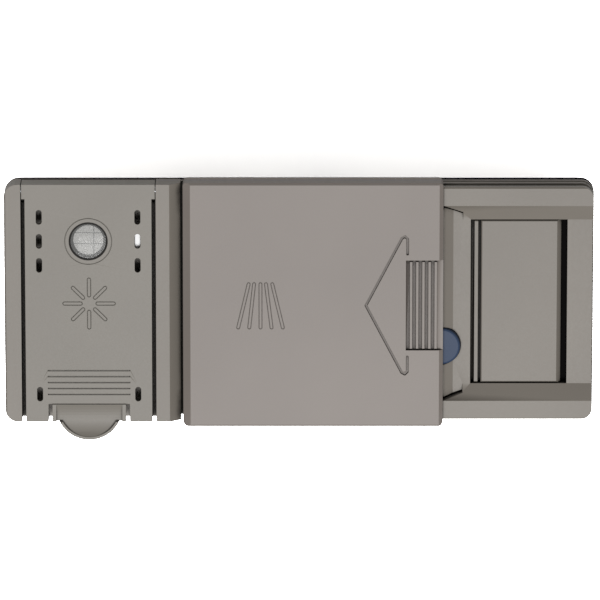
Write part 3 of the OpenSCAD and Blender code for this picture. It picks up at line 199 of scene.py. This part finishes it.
LOOKS = {
    "front_frame": frame_grey, "slide_cover": cover_grey, "rinse_lid": lid_grey,
    # panel_strip's near-black is painted shade in the slot beside the pocket panel.
    "pocket_panel": panel_grey, "panel_strip": gasket_black,
    "detergent_tub": tank_grey, "rinse_tank": tank_grey,
    "actuator_housing": housing_grey, "door_gasket": gasket_black, "lid_seal": gasket_black,
    "rod_seal": gasket_black, "valve_disc": gasket_black, "cover_seal": seal_grey,
    "release_button": button_blue, "latch_lever": acetal, "dosing_rod": acetal,
    "coil_bobbin": acetal, "dosing_dial": dial_grey, "vent_plug": vent_white,
    "window_ring": ring_gap_shade, "lever_pin": steel, "lid_hinge_pins": steel,
    "housing_screws": steel, "plunger": steel, "solenoid_yoke": zinc, "terminal_tabs": zinc,
    "cover_spring": spring_wire, "lever_spring": spring_wire, "plunger_spring": spring_wire,
    "push_rod": brass, "coil_winding": copper, "sight_window": window_clear,
    "level_prism": prism_clear,
}
for name, look in LOOKS.items():
    nodes[name].data.materials.clear()
    nodes[name].data.materials.append(look)


# Helpers for the pieces

def body_name(node):
    return next(b for b, names in frame["record"]["behaviour"]["bodies"].items() if node in names)


def from_bmesh(name, bm, look, body):
    mesh = bpy.data.meshes.new(name)
    bm.to_mesh(mesh)
    bm.free()
    obj = bpy.data.objects.new(name, mesh)
    scene.collection.objects.link(obj)
    mesh.materials.append(look)
    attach(obj, body)
    return obj


def settle(obj, angle=14):
    """Smooth shading with sharp edges kept where the surface turns, and flat faces kept flat."""
    mesh = obj.data
    mesh.shade_smooth()
    mesh.set_sharp_from_angle(angle=math.radians(angle))
    even = obj.modifiers.new("even", "WEIGHTED_NORMAL")
    even.keep_sharp = True
    even.weight = 80
    bake(obj)


def solid_copy(node):
    """The node's mesh with its seams joined."""
    bm = bmesh.new()
    bm.from_mesh(nodes[node].data)
    bmesh.ops.remove_doubles(bm, verts=bm.verts, dist=1e-6)
    return bm


def tube(bm, outer, inner, z0, z1):
    """A closed upright ring between two outlines with the same number of points."""
    rings = [[bm.verts.new((x, y, z)) for x, y in line]
             for line, z in ((outer, z0), (outer, z1), (inner, z1), (inner, z0))]
    count = len(outer)
    for a in range(4):
        b = (a + 1) % 4
        for i in range(count):
            j = (i + 1) % count
            bm.faces.new((rings[a][i], rings[a][j], rings[b][j], rings[b][i]))


def bar_outline(p, q, half, steps=8):
    """Outline of a bar with round ends from p to q, anticlockwise."""
    turn = math.atan2(q[1] - p[1], q[0] - p[0])
    points = []
    for centre, start in ((q, turn - math.pi / 2), (p, turn + math.pi / 2)):
        for i in range(steps + 1):
            a = start + math.pi * i / steps
            points.append((centre[0] + half * math.cos(a), centre[1] + half * math.sin(a)))
    return points


def outlined_bar(bm, p, q, width, line, z0, z1):
    """A ring-shaped cutter that leaves a bar standing between two fine grooves."""
    tube(bm, bar_outline(p, q, width / 2 + line / 2), bar_outline(p, q, width / 2 - line / 2), z0, z1)


def shell(node, look, cutter=None):
    """A smoothly shaded copy of the node, with the cutter's grooves in it, standing for the node."""
    obj = from_bmesh(node + "_shell", solid_copy(node), look, body_name(node))
    if cutter is not None:
        tool_mesh = bpy.data.meshes.new(node + "_cut")
        cutter.to_mesh(tool_mesh)
        cutter.free()
        tool = bpy.data.objects.new(node + "_cut", tool_mesh)
        scene.collection.objects.link(tool)
        cut = obj.modifiers.new("cut", "BOOLEAN")
        cut.operation = "DIFFERENCE"
        cut.solver = "EXACT"
        cut.object = tool
        bake(obj)
        bpy.data.objects.remove(tool)
    settle(obj)
    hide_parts(node)
    return obj


def bake(obj):
    """Applies the object's modifiers to its mesh."""
    graph = bpy.context.evaluated_depsgraph_get()
    made = bpy.data.meshes.new_from_object(obj.evaluated_get(graph))
    obj.modifiers.clear()
    obj.data = made


# Places read from the frame

lid_lo, lid_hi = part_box("rinse_lid")
cover_lo, cover_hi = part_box("slide_cover")
window_lo, window_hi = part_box("sight_window")
lid_cx = (window_lo[0] + window_hi[0]) / 2
window_y = (window_lo[1] + window_hi[1]) / 2
window_r = (window_hi[0] - window_lo[0]) / 2
face_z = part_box("window_ring")[1][2]
cover_z = cover_hi[2]

# Star on the lid and spray on the cover, each bar between two fine grooves
star = bmesh.new()
star_c = (lid_cx + 0.2 * MM, 0.1 * MM)
for k in range(8):
    a = math.radians(45 * k)
    reach = (9.6 if k % 2 == 0 else 8.9) * MM
    p = (star_c[0] + 3.3 * MM * math.cos(a), star_c[1] + 3.3 * MM * math.sin(a))
    q = (star_c[0] + reach * math.cos(a), star_c[1] + reach * math.sin(a))
    outlined_bar(star, p, q, 1.3 * MM, 0.28 * MM, face_z - 0.22 * MM, face_z + 1 * MM)

spray = bmesh.new()
spray_c = -15.1 * MM
for top, low in ((-4.6, -8.7), (-2.5, -4.4), (0, 0), (2.15, 4.3), (4.6, 8.7)):
    outlined_bar(spray, (spray_c + top * MM, 8.6 * MM), (spray_c + low * MM, -8.8 * MM),
                 1.15 * MM, 0.28 * MM, cover_z - 0.22 * MM, cover_z + 1 * MM)

shell("front_frame", frame_grey)
shell("slide_cover", cover_grey, cutter=spray)
shell("rinse_lid", lid_grey, cutter=star)
shell("pocket_panel", panel_grey)
shell("release_button", button_blue)

# Springs, as smoothly shaded copies of their nodes
for node, joint, axis, anchor, keep in (
        ("cover_spring", "cover_slide", (1, 0, 0), (0.0642, 0, 0), 0.43),
        ("lever_spring", "button_press", (0, 0, 1), (0, 0, -0.012), 0.6),
        ("plunger_spring", "plunger_slide", (1, 0, 0), (0.098, 0, 0), 0.628)):
    coil = from_bmesh(node + "_wire", solid_copy(node), spring_wire, body_name(node))
    settle(coil, 60)
    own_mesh(coil)
    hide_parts(node)

# Faceted plate under the sight window: three grooves and shallow facets on a round plate; the groove faces get a
# near-black material as painted shade
plate = bmesh.new()
steps = 84
plate_r = window_r - 1.05 * MM
plate_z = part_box("sight_window")[0][2] - 0.05 * MM
grid = []


def in_groove(x, y):
    return min(abs(y - 2.9 * MM), abs(y + 1.4 * MM), abs(x - 2.1 * MM)) < 0.19 * MM


for i in range(steps + 1):
    row = []
    for k in range(steps + 1):
        u, v = 2 * i / steps - 1, 2 * k / steps - 1
        x = plate_r * u * math.sqrt(1 - v * v / 2)
        y = plate_r * v * math.sqrt(1 - u * u / 2)
        dip = 0.03 * MM * (1 + math.sin(x / (0.26 * MM)) * math.sin(y / (0.41 * MM)))
        if in_groove(x, y):
            dip += 0.25 * MM
        row.append(plate.verts.new((lid_cx + x, window_y + y, plate_z - dip)))
    grid.append(row)
for i in range(steps):
    for k in range(steps):
        face = plate.faces.new((grid[i][k], grid[i + 1][k], grid[i + 1][k + 1], grid[i][k + 1]))
        middle = face.calc_center_median()
        # Groove faces take the second, near-black material: painted shade in the grooves.
        face.material_index = int(in_groove(middle.x - lid_cx, middle.y - window_y))
rim = ([grid[i][0] for i in range(steps)] + [grid[steps][k] for k in range(steps)]
       + [grid[i][steps] for i in range(steps, 0, -1)] + [grid[0][k] for k in range(steps, 0, -1)])
below = [plate.verts.new((v.co.x, v.co.y, plate_z - 0.7 * MM)) for v in rim]
for i in range(len(rim)):
    j = (i + 1) % len(rim)
    plate.faces.new((rim[j], rim[i], below[i], below[j]))
plate.faces.new(below[::-1])
facets = from_bmesh("window_facets", plate, facet_white, "lid")
facets.data.materials.append(facet_groove_shade)


# Floor, lights and camera

ground = bmesh.new()
half = 3.0
corners = [ground.verts.new((x, y, cad_lo[2] - 0.0003))
           for x, y in ((-half, -half), (half, -half), (half, half), (-half, half))]
ground.faces.new(corners)
floor_mesh = bpy.data.meshes.new("floor")
ground.to_mesh(floor_mesh)
ground.free()
floor = bpy.data.objects.new("floor", floor_mesh)
scene.collection.objects.link(floor)
floor_mat = bpy.data.materials.new("floor_pale")
floor_mat.use_nodes = True
tree = floor_mat.node_tree
tree.nodes.clear()
out = tree.nodes.new("ShaderNodeOutputMaterial")
pale = tree.nodes.new("ShaderNodeBsdfDiffuse")
seen = tree.nodes.new("ShaderNodeLightPath")
tint = tree.nodes.new("ShaderNodeMix")
tint.data_type = "RGBA"
tint.inputs[6].default_value = (0.78, 0.78, 0.78, 1)
tint.inputs[7].default_value = (5.5, 5.5, 5.5, 1)
tree.links.new(seen.outputs["Is Camera Ray"], tint.inputs[0])
tree.links.new(tint.outputs[2], pale.inputs[0])
tree.links.new(pale.outputs[0], out.inputs[0])
floor_mesh.materials.append(floor_mat)

world = bpy.data.worlds.new("studio")
scene.world = world
world.use_nodes = True
sky = world.node_tree.nodes["Background"]
sky.inputs["Color"].default_value = (1, 1, 1, 1)
ray = world.node_tree.nodes.new("ShaderNodeLightPath")
level = world.node_tree.nodes.new("ShaderNodeMapRange")
level.inputs["To Min"].default_value = 0.3
level.inputs["To Max"].default_value = 1.0
world.node_tree.links.new(ray.outputs["Is Camera Ray"], level.inputs["Value"])
world.node_tree.links.new(level.outputs[0], sky.inputs["Strength"])


def soft_light(name, place, power, width, height):
    data = bpy.data.lights.new(name, "AREA")
    data.shape = "RECTANGLE"
    data.size = width
    data.size_y = height
    data.energy = power
    lamp = bpy.data.objects.new(name, data)
    lamp.location = place
    lamp.rotation_mode = "QUATERNION"
    lamp.rotation_quaternion = (-Vector(place)).to_track_quat("-Z", "Y")
    scene.collection.objects.link(lamp)


soft_light("key", (0.0, -0.5, 1.5), 20.3, 0.8, 0.6)

tilt = math.radians(13.6)
reach = 3.0
aim = Vector((0.0003, 0.0015, 0.012))
lens = bpy.data.cameras.new("camera")
lens.sensor_width = 36
lens.lens = 36 * reach / (600 / 2.563 * MM)
lens.clip_start = 0.05
camera = bpy.data.objects.new("camera", lens)
camera.rotation_euler = (-tilt, 0, 0)
camera.location = aim + reach * Vector((0, math.sin(tilt), math.cos(tilt)))
scene.collection.objects.link(camera)
scene.camera = camera
scene.view_settings.view_transform = "Standard"
